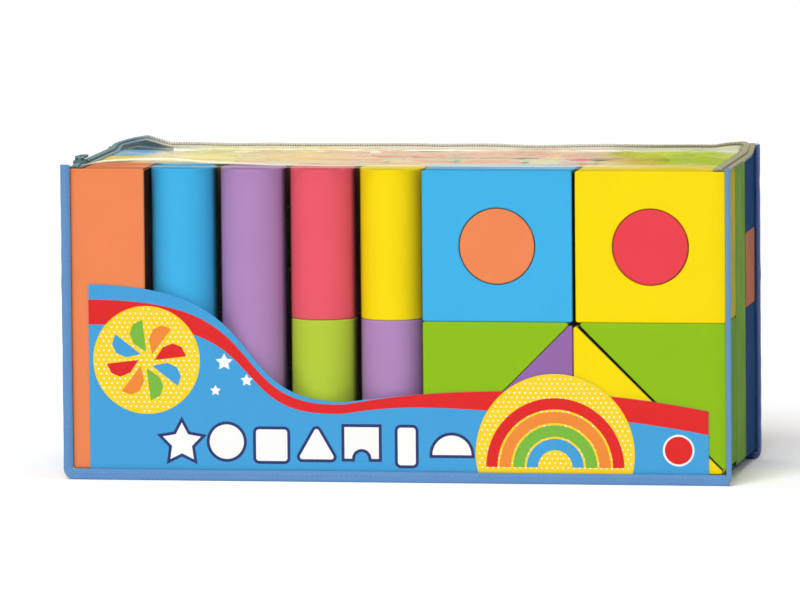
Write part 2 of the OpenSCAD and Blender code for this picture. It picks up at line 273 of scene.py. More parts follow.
# Clear film: see-through, with a faint veil of its own along its creases, and painted reflection as white
# cover that grows towards grazing views
def filmFinish(kind):
    look = film[kind]
    constants = {"Base Color": look["tone"], "Specular IOR Level": look["gloss"]}
    finish, shader, place = startFinish("film_" + kind, constants)
    facing = place.add("ShaderNodeLayerWeight", links={"Blend": 0.5}, out="Facing")
    crease = noiseAt(stretched(place, *film["creases"]), 1.0, 2.0)
    scuffs = noiseAt(place, film["scuffs"], 2.0)
    # Painted reflection: white cover that grows towards grazing views, stronger along the creases
    hazeAndReflection = look["hazeAndReflection"] * (0.45 + 1.1 * crease)
    cover = look["veil"] * (0.5 + crease) + (facing ** look["power"]) * hazeAndReflection
    if kind == "lid":
        cover = markLid(shader, place, facing, crease, cover)
    if kind == "back":
        cover = cover + film["rim"] * place.parts()[2].past(*film["rimAbove"])
    feed(shader, "Alpha", cover.clamp())
    feed(shader, "Roughness", look["rough"] + crease * 0.1 + scuffs * 0.05)
    addBump(shader, crease * 0.8 + scuffs * 0.1, 0.25, 0.001)
    return finish


webbing = {
    "dark": 0.74, "light": 1.2, "gloss": 0.25, "sheen": 0.2,
    "fuzz": 900.0, "wear": 55.0,
    "bump": 0.5, "bumpDeep": 0.0003,
    "ends": ((-0.18, -45.0), (0.12, 25.0)),    # where the zip's left and right end tones begin
}


def tapeFinish(name, rgb, pitch, ends=()):
    constants = {"Specular IOR Level": webbing["gloss"], "Sheen Weight": webbing["sheen"]}
    finish, shader, place = startFinish(name, constants)
    turn = 2 * math.pi / pitch
    x, y, z = place.parts()
    warp = ((x + z + y) * turn).sine()
    weft = ((x - z - y) * turn).sine()
    weave = (warp * weft) * 0.5 + 0.5
    fuzz = noiseAt(place, webbing["fuzz"], 3.0)
    worn = noiseAt(place, webbing["wear"], 3.0)
    shade = (weave * 0.45 + fuzz * 0.3 + worn * 0.3 - 0.02).clamp()
    colour = toned(shade, linear(rgb), webbing["dark"], webbing["light"])
    for endTone, reach in zip(ends, webbing["ends"]):
        there = toned(shade, linear(endTone), webbing["dark"], webbing["light"])
        colour = x.past(*reach).mixColour(colour, there)
    feed(shader, "Base Color", colour)
    feed(shader, "Roughness", 0.66 + fuzz * 0.2)
    addBump(shader, weave + fuzz * 0.5, webbing["bump"], webbing["bumpDeep"])
    return finish


board = {"dark": 0.94, "light": 1.06, "gloss": 0.2, "coatRough": 0.25, "fibres": 700.0, "blotch": 30.0}


def cardFinish(name, rgb):
    constants = {"Specular IOR Level": board["gloss"], "Coat Roughness": board["coatRough"]}
    finish, shader, place = startFinish(name, constants)
    fibres = noiseAt(stretched(place, 1.0, 1.0, 3.0), board["fibres"], 4.0)
    blotch = noiseAt(place, board["blotch"], 2.0)
    shade = (fibres * 0.5 + blotch * 0.5).clamp()
    feed(shader, "Base Color", toned(shade, linear(rgb), board["dark"], board["light"]))
    feed(shader, "Roughness", 0.36 + fibres * 0.14)
    feed(shader, "Coat Weight", blotch * 0.06)
    addBump(shader, fibres, 0.08, 0.0001)
    return finish


paint = {
    "dark": (0.06, 0.14, 0.155, 1), "light": (0.11, 0.21, 0.225, 1), "metallic": 0.35,
    "wear": 420.0, "lines": (4000.0, 300.0, 300.0),
}


def metalFinish(name):
    finish, shader, place = startFinish(name, {"Metallic": paint["metallic"]})
    wear = noiseAt(place, paint["wear"], 4.0)
    lines = noiseAt(stretched(place, *paint["lines"]), 1.0, 2.0)
    tones = (wear * 0.7 + lines * 0.3).clamp()
    feed(shader, "Base Color", tones.mixColour(paint["dark"], paint["light"]))
    feed(shader, "Roughness", 0.34 + wear * 0.2 + lines * 0.08)
    addBump(shader, lines + wear * 0.4, 0.12, 0.0001)
    return finish


foamFinishes = {name: foamFinish(name, rgb) for name, rgb in foam["tones"].items()}
clear = {kind: filmFinish(kind) for kind in ("front", "back", "gusset", "lid")}
blueTape = tapeFinish("binding_tape", (98, 150, 205), 0.0011)
blueThread = tapeFinish("binding_thread", (120, 168, 218), 0.0006)
navyTape = tapeFinish("back_tape", (60, 84, 156), 0.0011)
# The tail's tape is brighter than the back tape it comes from: painted light where it lies in shade under
# the peak
tailTape = tapeFinish("tail_tape", (30, 150, 184), 0.0011)
greyTape = tapeFinish("zip_tape", (228, 221, 190), 0.0009, ((104, 150, 160), (178, 172, 130)))
greyCoil = tapeFinish("zip_coil", (244, 240, 224), 0.0007, ((130, 166, 172), (188, 182, 148)))
lacquer = metalFinish("zip_lacquer")
inks = {name: cardFinish("ink_" + name, rgb) for name, rgb in {
    "blue": (62, 161, 218), "red": (224, 26, 26), "yellow": (249, 214, 22), "white": (250, 250, 246),
    "navy": (38, 52, 110), "green": (120, 186, 60), "orange": (240, 140, 50),
}.items()}
print("finishes made:", len(bpy.data.materials))


def show(name, data):
    thing = bpy.data.objects.new(name, data)
    bpy.context.scene.collection.objects.link(thing)
    return thing


# Meshes are worked out in millimetres and scaled once here
def addPiece(name, work, finish, body):
    bmesh.ops.recalc_face_normals(work, faces=work.faces)
    bmesh.ops.scale(work, vec=(0.001, 0.001, 0.001), verts=work.verts)
    mesh = bpy.data.meshes.new(name)
    work.to_mesh(mesh)
    work.free()
    mesh.polygons.foreach_set("use_smooth", [True] * len(mesh.polygons))
    mesh.materials.append(finish)
    piece = show(name, mesh)
    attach(piece, body)
    return piece


# Corners (x, y, radius) to an outline; a corner of no radius is kept as it is
def roundedOutline(corners, steps=4):
    points = []
    for i, (x, y, radius) in enumerate(corners):
        here = Vector((x, y))
        if radius <= 0:
            points.append(here)
            continue
        before = (Vector(corners[i - 1][:2]) - here).normalized()
        after = (Vector(corners[(i + 1) % len(corners)][:2]) - here).normalized()
        half = before.angle(after) / 2
        centre = here + (before + after).normalized() * (radius / math.sin(half))
        start = here + before * (radius / math.tan(half)) - centre
        stop = here + after * (radius / math.tan(half)) - centre
        for k in range(steps + 1):
            spoke = start.lerp(stop, k / steps).normalized() * radius
            points.append(centre + spoke)
    return points


def circleOutline(x, y, radius, count=56, clockwise=False):
    turn = -1 if clockwise else 1
    angles = [turn * 2 * math.pi * k / count for k in range(count)]
    return [Vector((x + radius * math.cos(a), y + radius * math.sin(a))) for a in angles]


def arcOutline(x, y, radius, start, stop, count):
    angles = [start + (stop - start) * k / count for k in range(count + 1)]
    return [Vector((x + radius * math.cos(a), y + radius * math.sin(a))) for a in angles]


# Moves an outline into the material, which lies to the left of its direction
def insetOutline(points, amount):
    moved = []
    for i, here in enumerate(points):
        before = (here - points[i - 1]).normalized()
        after = (points[(i + 1) % len(points)] - here).normalized()
        lean = Vector((-before.y - after.y, before.x + after.x)).normalized()
        spread = max(0.4, lean.dot(Vector((-after.y, after.x))))
        moved.append(here + lean * (amount / spread))
    return moved


# Walls between neighbouring rings of points, and lids on the first and last ring
def joinRings(work, rings, capped=True):
    for first, second in zip(rings, rings[1:]):
        for i in range(len(first)):
            work.faces.new((first[i - 1], first[i], second[i], second[i - 1]))
    if capped:
        work.faces.new(rings[0])
        work.faces.new(rings[-1])


# Prism between two levels, with rounded edges; loops are the outline and any holes
def addPrism(work, loops, low, high, edge, place, steps=3):
    shares = [k / steps * math.pi / 2 for k in range(steps + 1)]
    levels = [(edge * (1 - math.sin(a)), low + edge * (1 - math.cos(a))) for a in shares]
    levels += [(edge * (1 - math.sin(a)), high - edge * (1 - math.cos(a))) for a in reversed(shares)]
    lowEdges = []
    highEdges = []
    for loop in loops:
        rings = []
        for inset, level in levels:
            ring = insetOutline(loop, inset) if inset > 1e-6 else loop
            rings.append([work.verts.new(place(p.x, p.y, level)) for p in ring])
        joinRings(work, rings, len(loops) == 1)
        for i in range(len(loop)):
            lowEdges.append(work.edges.get((rings[0][i - 1], rings[0][i])))
            highEdges.append(work.edges.get((rings[-1][i - 1], rings[-1][i])))
    if len(loops) > 1:
        bmesh.ops.triangle_fill(work, use_beauty=True, edges=lowEdges)
        bmesh.ops.triangle_fill(work, use_beauty=True, edges=highEdges)


def facingFront(x, z, depth):
    return (x, depth, z)


def standing(x, y, height):
    return (x, y, height)


# Corner of each wedge that is square: 0 lower left, 1 lower right, 2 upper right, 3 upper left
wedgeCorners = {
    "front_green_wedge_left": 3, "front_purple_wedge": 1,
    "front_yellow_wedge": 0, "front_green_wedge_right": 2,
    "middle_blue_wedge": 0, "middle_orange_wedge": 2,
    "middle_purple_wedge": 0, "middle_red_wedge": 2,
}


def makeBlock(node, tone, kind):
    (x0, y0, z0), (x1, y1, z1) = cornersOf(node)
    leftwards, upwards = foam["snug"].get(node, (0.0, 0.0))
    x0 -= leftwards
    z1 += upwards
    midX = (x0 + x1) / 2
    midY = (y0 + y1) / 2
    midZ = (z0 + z1) / 2
    radius = (x1 - x0) / 2
    edge, corner = foam["sharpRounding" if node in foam["sharp"] else "rounding"]
    box = [(x0, z0, corner), (x1, z0, corner), (x1, z1, corner), (x0, z1, corner)]
    loops = []    # outlines of the kinds that are cut from the front
    if kind in ("plank", "brick", "cube"):
        loops = [roundedOutline(box)]
    elif kind == "square":
        loops = [roundedOutline(box), circleOutline(midX, midZ, foam["hole"], foam["round"], True)]
    elif kind == "plug":
        loops = [circleOutline(midX, midZ, radius, foam["round"])]
    elif kind == "wedge":
        skip = (wedgeCorners[node] + 2) % 4
        loops = [roundedOutline([c for i, c in enumerate(box) if i != skip])]
    elif kind == "arch":
        inner = [(p.x, p.y, 0) for p in arcOutline(midX, z0, foam["archR"], math.pi, 0, foam["arc"])[1:-1]]
        feet = [(midX - foam["archR"], z0, corner), *inner, (midX + foam["archR"], z0, corner)]
        loops = [roundedOutline([box[0], *feet, *box[1:]])]
    elif kind == "disc":
        rim = [(p.x, p.y, 0) for p in arcOutline(midX, z0, radius, 0, math.pi, foam["arc"])[1:-1]]
        loops = [roundedOutline([box[0], box[1], *rim])]
    work = bmesh.new()
    if loops:
        addPrism(work, loops, y0, y1, edge, facingFront)
    elif kind == "round":
        side = -1 if "yellow" in node else 1
        flat = x1 if side < 0 else x0
        deep = (y1 - y0) / 2
        centre = x0 + deep if side < 0 else x1 - deep
        reach = math.acos(max(-1, min(1, abs(flat - centre) / deep)))
        rim = arcOutline(centre, midY, -side * deep, reach, 2 * math.pi - reach, foam["arc"])
        addPrism(work, [rim], z0, z1, edge, standing)
    else:    # columns, drums and the stacked stubs
        count = foam["stubs"] if kind == "stubs" else 1
        gap = foam["stubGap"] if kind == "stubs" else 0.0
        tall = (z1 - z0 + gap) / count
        for i in range(count):
            foot = z0 + i * tall
            ring = circleOutline(midX, midY, radius, foam["round"])
            addPrism(work, [ring], foot, foot + tall - gap, edge, standing)
    finish = foamFinish(node, foam["batches"][node]) if node in foam["batches"] else foamFinishes[tone]
    piece = addPiece(node + "_foam", work, finish, "pack")
    piece.modifiers.new("normals", "WEIGHTED_NORMAL").weight = 80
    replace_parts(piece, node)


blockCount = 0
for node in sorted(frame["nodes"]):
    words = node.split("_")
    if len(words) > 2 and words[1] in foamFinishes:
        kind = words[-1] if words[-1] in ("round", "disc") else words[2]
        makeBlock(node, words[1], kind)
        blockCount += 1
print("foam blocks made:", blockCount)


# Sizes of the bag, read off the frame in millimetres
jointAt = {joint["name"]: [1000 * c for c in joint.get("pos_m") or (0, 0, 0)] for joint in frame["joints"]}
bag = {
    "filmX": cornersOf("body_zip")[1].x, "filmY": -cornersOf("front_panel")[0].y,
    "boundX": cornersOf("front_binding")[1].x, "floorZ": cornersOf("front_orange_plank")[0].z,
    "rimZ": cornersOf("body_zip")[0].z, "frontTop": cornersOf("front_panel")[1].z,
    "hingeY": jointAt["lid_hinge"][1], "hingeZ": jointAt["lid_hinge"][2],
    "lidX": cornersOf("lid_panel")[1].x, "lidBack": cornersOf("lid_panel")[1].y,
    "backLean": 80.0,    # the back seam lies back in line with the sides
    "frontLean": 72.0,    # and the front seam's right side stands forward
    "seamR": 7.0, "tape": 0.9, "film": 0.5,
}


def smooth(value):
    share = max(0.0, min(1.0, value))
    return share * share * (3 - 2 * share)


def ripple(x, y, z=0.0):
    return noise.noise(Vector((x, y, z)))


peak = {
    "x": -194.0, "high": 5.0, "left": 28.0, "right": 16.0,    # by the back left corner
    "from": 52.0, "full": 76.0,    # how far back it starts and is full
    "nearer": 22.0, "nearerX": -208.0, "nearerEase": 12.0,    # it starts nearer right of the corner
    "cornerHigh": 5.0, "cornerWide": 28.0,    # by the back right corner
    "rim": 3.0, "rimEnd": 230.0, "rimEase": 30.0, "rimDeep": 22.0,
    "wallFrom": 150.0, "wallEase": 56.0,    # the walls follow from here up
}


# How far the rim stands up along the back: a peak near the left corner, a small one at the right
def lift(x, y):
    away = x - peak["x"]
    tent = peak["high"] * max(0.0, 1 - (away / peak["right"] if away > 0 else -away / peak["left"]))
    start = peak["from"] - peak["nearer"] * smooth((x - peak["nearerX"]) / peak["nearerEase"])
    corner = peak["cornerHigh"] * max(0.0, 1 - (bag["filmX"] - x) / peak["cornerWide"])
    ends = smooth((peak["rimEnd"] - abs(x)) / peak["rimEase"])
    rim = peak["rim"] * (0.8 + 0.5 * ripple(x * 0.02, 4.0)) * ends
    risen = tent * smooth((y - start) / (peak["full"] - start))
    return risen + (corner + rim) * smooth((y - peak["from"]) / peak["rimDeep"])


def wallLift(x, y, z):
    return lift(x, y) * smooth((z - peak["wallFrom"]) / peak["wallEase"])


def addSheet(name, rows, thick, finish, body):
    work = bmesh.new()
    grid = [[work.verts.new(p) for p in row] for row in rows]
    for lower, upper in zip(grid, grid[1:]):
        for i in range(1, len(lower)):
            work.faces.new((lower[i - 1], lower[i], upper[i], upper[i - 1]))
    piece = addPiece(name, work, finish, body)
    walls = piece.modifiers.new("walls", "SOLIDIFY")
    walls.thickness = thick * 0.001
    walls.offset = 0
    return piece


# Half width of a bound panel at a height, inside the binding
def panelHalf(z):
    inset = bag["tape"]
    radius = bag["seamR"] - inset
    drop = max(0.0, radius - (z - inset))
    return bag["boundX"] - inset - radius + math.sqrt(max(0.0, radius * radius - drop * drop))


panel = {
    "rows": 69, "half": 72, "flange": 3, "root": 0.2,
    "taut": 6.0, "ease": 12.0,    # taut along the seams, slack further in
    "waves": 0.8, "sidePull": 1.0, "sideReach": 22.0, "basePull": 0.8, "baseReach": 18.0,
}


# Slack in a film panel: ripples that run in from the seams and long soft waves between
def panelSlack(x, z, half, top, seed):
    side = min(x + half, half - x)
    base = min(z, top - z)
    inward = smooth((side - panel["taut"]) / panel["ease"]) * smooth((base - panel["taut"]) / panel["ease"])
    waves = 0.5 + 0.5 * ripple(x * 0.012, z * 0.02, seed)
    sidePull = math.exp(-side / panel["sideReach"]) * (0.5 + 0.5 * ripple(x * 0.01, z * 0.16, seed + 3))
    basePull = math.exp(-z / panel["baseReach"]) * (0.5 + 0.5 * ripple(x * 0.13, z * 0.01, seed + 5))
    return inward * (panel["waves"] * waves + panel["sidePull"] * sidePull + panel["basePull"] * basePull)


# How far a seam leans: the back one backwards, the right side of the front one forwards
def seamLean(side, x):
    if side > 0:
        return math.radians(bag["backLean"])
    return math.radians(bag["frontLean"]) if x > 0 else 0.0


def makePanel(name, node, side, top, seed, finish):
    rows = []
    root = bag["filmX"] + panel["root"]
    for j in range(panel["rows"] + 1):
        z = bag["tape"] + (top - bag["tape"]) * j / panel["rows"]
        half = panelHalf(z)
        inner = min(root, half - 0.5)
        spread = [inner * (i / panel["half"] - 1) for i in range(2 * panel["half"] + 1)]
        flange = [inner + (half - inner) * (k + 1) / panel["flange"] for k in range(panel["flange"])]
        row = []
        for x in [-f for f in reversed(flange)] + spread + flange:
            depth = bag["filmY"] - bag["film"] / 2 + panelSlack(x, z, half, top, seed)
            rise = wallLift(x, depth, z) if side > 0 else 0
            beyond = max(0.0, abs(x) - root)
            lean = seamLean(side, x) * smooth(z / bag["seamR"])
            drawn = math.copysign(abs(x) - beyond * (1 - math.cos(lean)), x)
            row.append((drawn, side * (depth + beyond * math.sin(lean)), z + rise))
        rows.append(row)
    piece = addSheet(name, rows, film["thick"], finish, "pack")
    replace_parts(piece, node)
    2 * (bag["boundX"] - bag["tape"]) * 0.001
    (top - bag["tape"]) * 0.001


makePanel("front_film", "front_panel", -1, bag["frontTop"], 1.0, clear["front"])
makePanel("back_film", "back_panel", 1, bag["rimZ"], 11.0, clear["back"])


# U-shaped run: down one side, along the base and up the other, with its outward direction
def uRun(half, base, top, radius, sideCount, cornerCount, baseCount):
    points = []

    def bend(x, start):
        for k in range(cornerCount):
            a = start + math.pi / 2 * k / cornerCount
            outX = math.cos(a)
            outZ = math.sin(a)
            points.append((x + radius * outX, base + radius + radius * outZ, outX, outZ))

    for k in range(sideCount):
        points.append((-half, top + (base + radius - top) * k / sideCount, -1.0, 0.0))
    bend(-half + radius, math.pi)
    for k in range(baseCount):
        points.append((-half + radius + 2 * (half - radius) * k / baseCount, base, 0.0, -1.0))
    bend(half - radius, math.pi * 1.5)
    for k in range(sideCount + 1):
        points.append((half, base + radius + (top - base - radius) * k / sideCount, 1.0, 0.0))
    return points


gusset = {
    "flat": (0.162, 0.842),
    "turned": (4.4, 2.0, 0.3),    # edges turned out into the seams
    "across": 48, "fromSeam": 0.4, "bend": 2.5, "ease": 12.0, "slack": 1.1,
}


# One strip of film round both sides and the bottom
def makeGusset():
    reach = bag["filmY"] - bag["film"] * 1.5
    flatReach = reach - gusset["fromSeam"]
    columns = [(turned, -reach) for turned in gusset["turned"]]
    columns += [(0.0, flatReach * (2 * k / gusset["across"] - 1)) for k in range(gusset["across"] + 1)]
    columns += [(turned, reach) for turned in reversed(gusset["turned"])]
    wall = bag["film"] / 2
    run = uRun(bag["filmX"] - wall, bag["floorZ"] - wall, bag["rimZ"], gusset["bend"], 76, 6, 140)
    rows = []
    for x, z, outX, outZ in run:
        row = []
        for turned, y in columns:
            inward = smooth((reach - abs(y)) / gusset["ease"])
            slack = 0.45 + 0.55 * ripple(x * 0.02 + z * 0.02, y * 0.05, 21) \
                + 0.5 * ripple(x * 0.01 + z * 0.012, y * 0.16, 27)
            lean = seamLean(y, x) * smooth(z / bag["seamR"]) * abs(outX)
            out = turned * math.cos(lean) + max(0.0, slack) * inward * gusset["slack"] * abs(outX)
            deep = y + math.copysign(turned * math.sin(lean), y)
            row.append((x + outX * out, deep, z + outZ * out + wallLift(x, y, z)))
        rows.append(row)
    piece = addSheet("gusset_film", rows, film["thick"], clear["gusset"], "pack")
    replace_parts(piece, "gusset")


makeGusset()


# Lid: rolled round the hinge line, raised in a lip along the fold, creased behind it
lid = {
    "across": 190, "deep": 70, "flatDeep": 0.15,
    # The roll lies flat at the hinge, then rises: how far behind and above the hinge line
    "roll": [(0.05, -0.4), (0.0, -0.1), (0.5, 0.1), (1.2, 0.2), (2.0, 0.45)],
    "lipSteps": 6, "lipDeep": 2.6, "lipLow": 1.2, "lipHigh": 4.2, "lipEnds": 14.0,
    "humpX": -160.0, "humpWide": 48.0,
    "creases": 2.4, "fall": 16.0, "sag": 0.2, "sideEase": 16.0, "backEase": 12.0,
    "corner": 3.0,
}


def lipHeight(x):
    hump = math.exp(-((x - lid["humpX"]) / lid["humpWide"]) ** 2)
    small = 0.5 * ripple(x * 0.035, 7.0)
    ends = smooth((bag["lidX"] - abs(x)) / lid["lipEnds"])
    return (lid["lipLow"] + lid["lipHigh"] * hump + small) * (0.35 + 0.65 * ends)


def lidCrease(x, y):
    long = abs(ripple(x * 0.011 + 3, y * 0.06 + x * 0.004, 31))
    short = abs(ripple(x * 0.03, y * 0.13 - x * 0.012, 37))
    return lid["creases"] * (0.75 * (1 - long) ** 6 + 0.4 * (1 - short) ** 5)


# A point of the lid behind its lip, at shares of its half width and of its depth
def lidTop(share, t, lipY, high):
    y = lipY + (bag["lidBack"] - lipY) * t
    tuck = max(0.0, y - bag["lidBack"] + lid["corner"])
    half = bag["lidX"] - lid["corner"] + math.sqrt(max(0, lid["corner"] ** 2 - tuck ** 2))
    x = half * share
    fall = smooth((y - lipY) / lid["fall"])
    edge = smooth(min((half - abs(x)) / lid["sideEase"], (bag["lidBack"] - y) / lid["backEase"]))
    z = bag["hingeZ"] - lid["sag"] + (high + lid["sag"]) * (1 - fall)
    return (x, y, z + lidCrease(x, y) * edge * fall + lift(x, y))


def makeLid():
    rollY, rollZ = lid["roll"][-1]
    lipY = bag["hingeY"] + rollY + lid["lipDeep"]
    shares = [2 * i / lid["across"] - 1 for i in range(lid["across"] + 1)]
    rows = []
    for behind, above in lid["roll"]:
        rows.append([(bag["lidX"] * s, bag["hingeY"] + behind, bag["hingeZ"] + above) for s in shares])
    for j in range(lid["lipSteps"]):
        a = math.pi / 2 * (j + 1) / lid["lipSteps"]
        y = lipY - lid["lipDeep"] * math.cos(a)
        rises = [rollZ + (lipHeight(bag["lidX"] * s) - rollZ) * math.sin(a) for s in shares]
        rows.append([(bag["lidX"] * s, y, bag["hingeZ"] + rise) for s, rise in zip(shares, rises)])
    for j in range(lid["deep"]):
        t = (j + 1) / lid["deep"]
        rows.append([lidTop(s, t, lipY, lipHeight(bag["lidX"] * s)) for s in shares])
    piece = addSheet("lid_film", rows, film["thick"], clear["lid"], "lid")
    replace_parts(piece, "lid_panel")
    2 * bag["lidX"] * 0.001


makeLid()
print("film panels made")


# Small rounded bar, for a stitch or a tooth
def addCapsule(work, middle, along, up, length, radius, flat=1.0):
    across = along.cross(up).normalized()
    stations = [(-0.5, 0.35), (-0.34, 0.9), (0.0, 1.0), (0.34, 0.9), (0.5, 0.35)]
    rings = []
    for share, size in stations:
        ring = []
        for k in range(6):
            a = 2 * math.pi * k / 6
            spot = middle + along * (share * length)
            spot = spot + across * (math.cos(a) * radius * size) + up * (math.sin(a) * radius * size * flat)
            ring.append(work.verts.new(spot))
        rings.append(ring)
    joinRings(work, rings)


binding = {
    "side": bag["boundX"] - bag["filmX"] - 0.2, "base": bag["floorZ"] - bag["film"] - 0.2,
    "overSide": 2.0, "overBase": 0.9, "thick": 2.8, "flat": (0.0155, 0.86),
    "stitchAt": 0.74, "stitchPitch": 3.3, "stitch": 2.3, "thread": 0.3, "threadUp": 0.1,
    "rise": 3.5, "riseFrom": 20.0,    # the back seam's right end is drawn up
    "wave": 0.35, "pucker": 0.03, "bulge": 0.2,
}


# Folded tape round a seam, puckered by its stitching and leaning with the film
def makeBinding(name, node, side, top):
    half = binding["thick"] / 2
    inner = half - bag["tape"]
    # Share of the tape's width, whether it laps over on to the film, and depth
    section = [(1, 1, -half), (0.69, 0, -half - 0.05), (0.38, 0, -half), (0.14, 0, -half * 0.92),
               (0.04, 0, -half * 0.6), (0, 0, 0.0), (0.04, 0, half * 0.6), (0.14, 0, half * 0.92),
               (0.38, 0, half), (0.69, 0, half + 0.05), (1, 1, half), (1, 1, inner),
               (0.24, 0, inner), (0.24, 0, -inner), (1, 1, -inner)]
    middle = side * (bag["filmY"] - bag["film"])

    def onTape(x, z, outX, outZ, share, lap, depth):
        wide = binding["side"] * outX ** 2 + binding["base"] * outZ ** 2
        over = binding["overSide"] * outX ** 2 + binding["overBase"] * outZ ** 2
        if depth < 0:
            over *= 2 * abs(outX) if side > 0 else 2 * max(0.0, outX)
        reach = wide * (1 - share) - lap * over
        lean = seamLean(side, x) * abs(outX)
        out = reach * math.cos(lean) - depth * math.sin(lean) - wide
        deep = reach * math.sin(lean) + depth * math.cos(lean)
        drawn = smooth((z - top + binding["riseFrom"]) / binding["riseFrom"])
        rise = binding["rise"] * drawn if side > 0 and x > 0 else 0.0
        return Vector((x + outX * out, middle + side * deep, z + outZ * out + rise))

    work = bmesh.new()
    rings = []
    for x, z, outX, outZ in uRun(bag["boundX"], 0.0, top, bag["seamR"], 90, 14, 190):
        ring = []
        length = x * 0.9 + z * 1.1
        calm = smooth(z / 4) * smooth((top - z) / 8)
        wave = binding["wave"] * ripple(length * 0.06, side * 9.0, 3.0) * calm
        for share, lap, depth in section:
            sewn = smooth((0.5 - abs(share - binding["stitchAt"])) / 0.5)
            pucker = binding["pucker"] * math.sin(length * 2 * math.pi / binding["stitchPitch"]) * sewn
            bulge = depth * (1 + pucker) + binding["bulge"] * ripple(length * 0.09, share * 0.6, side * 5.0)
            spot = onTape(x, z, outX, outZ, share, lap, bulge)
            spot.x += outX * wave * (1 - share * 0.8)
            ring.append(work.verts.new(spot))
        rings.append(ring)
    joinRings(work, rings)
    tape = addPiece(name + "_tape", work, blueTape if side < 0 else navyTape, "pack")
    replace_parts(tape, node)
    threads = bmesh.new()
    run = uRun(bag["boundX"], 0.0, top, bag["seamR"], 400, 14, 800)
    gone = 0.0
    for here, ahead in zip(run, run[1:]):
        step = Vector((ahead[0] - here[0], 0, ahead[1] - here[1]))
        gone += step.length
        if gone < binding["stitchPitch"]:
            continue
        gone -= binding["stitchPitch"]
        for face in (-1, 1):
            spot = onTape(*here, binding["stitchAt"], 0, face * (half + binding["threadUp"]))
            above = onTape(*here, binding["stitchAt"], 0, face * (half + binding["threadUp"] + 1))
            up = (above - spot).normalized()
            addCapsule(threads, spot, step.normalized(), up, binding["stitch"], binding["thread"])
    addPiece(name + "_stitches", threads, blueThread, "pack")


makeBinding("front_seam", "front_binding", -1, bag["frontTop"] + 2.2)
makeBinding("back_seam", "back_binding", 1, bag["rimZ"] + 1.0)


# Loose end of the back tape, tucked in under the peaked rim
tail = {"from": -221.0, "to": -177.0, "deep": 9.0, "y": 75.95, "thick": 0.45, "flat": (0.044, 0.0125),
        "across": 32, "rows": 6, "under": 0.3}


def makeTail():
    rows = []
    for j in range(tail["rows"] + 1):
        row = []
        for i in range(tail["across"] + 1):
            x = tail["from"] + (tail["to"] - tail["from"]) * i / tail["across"]
            y = tail["y"] + 0.15 * ripple(x * 0.1, j * 0.4, 63.0)
            top = bag["rimZ"] - tail["under"] + lift(x, bag["filmY"])
            foot = bag["rimZ"] - tail["deep"] + 1.2 * ripple(x * 0.08, 61.0)
            row.append((x, y, foot + (top - foot) * j / tail["rows"]))
        rows.append(row)
    piece = addSheet("back_seam_tail", rows, tail["thick"], tailTape, "pack")


makeTail()
print("bindings made")


zipper = {
    "x": -jointAt["pull_hinge"][0], "y": bag["filmY"] - bag["filmX"] - jointAt["pull_hinge"][0],
    "front": 3.0 - bag["filmY"], "radius": 7.0, "outerRadius": 1.5,
    "tapeZ": bag["rimZ"] + 0.3, "thick": 0.48, "gap": 0.15,
    "wave": 0.12, "waveFrom": 56.0, "waveEase": 8.0,
    "pitch": 1.7, "toothOut": 0.75, "toothUp": 1.05, "tooth": 2.3, "toothR": 0.82, "toothTall": 1.5,
    "bevel": 0.00025,
}
zipper["wide"] = bag["filmX"] - zipper["x"]


# Offsets run outwards from the middle of the coil; y grows towards the back
def zipRun(offset, sideCount, cornerCount, baseCount):
    squared = max(0.0, offset / zipper["wide"]) ** 2    # the outer edge runs into the bag's corners
    radius = (zipper["radius"] + offset) * (1 - squared) + zipper["outerRadius"] * squared
    run = uRun(zipper["x"] + offset, -zipper["y"] - offset, -zipper["front"], radius,
               sideCount, cornerCount, baseCount)
    return [(x, -b, outX, -outB) for x, b, outX, outB in run]


def makeZip(node, body, side):
    wide = zipper["wide"]
    columns = [(side * zipper["gap"], 0.0), (side * wide * 0.4, 0.0), (side * wide * 0.7, 0.0)]
    if side > 0:
        columns += [(wide - 0.5, -0.05), (wide - 0.15, -0.5), (wide - 0.1, -1.8)]    # turned down
    else:
        columns.append((-wide, 0.05))
    rows = []
    for offset, drop in columns:
        row = []
        for x, y, *_ in zipRun(offset, 60, 14, 120):
            calm = smooth((y - zipper["waveFrom"]) / zipper["waveEase"])
            wave = zipper["wave"] * ripple(x * 0.05, y * 0.05, 51) * calm
            row.append((x, y, zipper["tapeZ"] + drop + lift(x, y) + wave))
        rows.append(row)
    tape = addSheet(node + "_tape", rows, zipper["thick"], greyTape, body)
    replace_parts(tape, node)
    teeth = bmesh.new()
    gone = 0.0 if side > 0 else zipper["pitch"] / 2
    run = zipRun(side * zipper["toothOut"], 800, 120, 2400)
    for here, ahead in zip(run, run[1:]):
        x, y, outX, outY = here
        gone += (Vector(ahead[:2]) - Vector(here[:2])).length
        if gone < zipper["pitch"]:
            continue
        gone -= zipper["pitch"]
        out = Vector((outX, outY, 0.0))
        middle = Vector((x, y, zipper["tapeZ"] + zipper["toothUp"] + lift(x, y)))
        up = Vector((0, 0, 1))
        addCapsule(teeth, middle, out, up, zipper["tooth"], zipper["toothR"], zipper["toothTall"])
    addPiece(node + "_coil", teeth, greyCoil, body)


makeZip("body_zip", "pack", 1)
makeZip("lid_zip", "lid", -1)
for node in ("zip_slider", "zip_pull"):
    shown = frame["nodes"][node]
    shown.data.materials.clear()
    shown.data.materials.append(lacquer)
    softened = shown.modifiers.new("softened", "BEVEL")
    softened.width = zipper["bevel"]
    softened.segments = 3
    softened.limit_method = "ANGLE"
print("zip made")


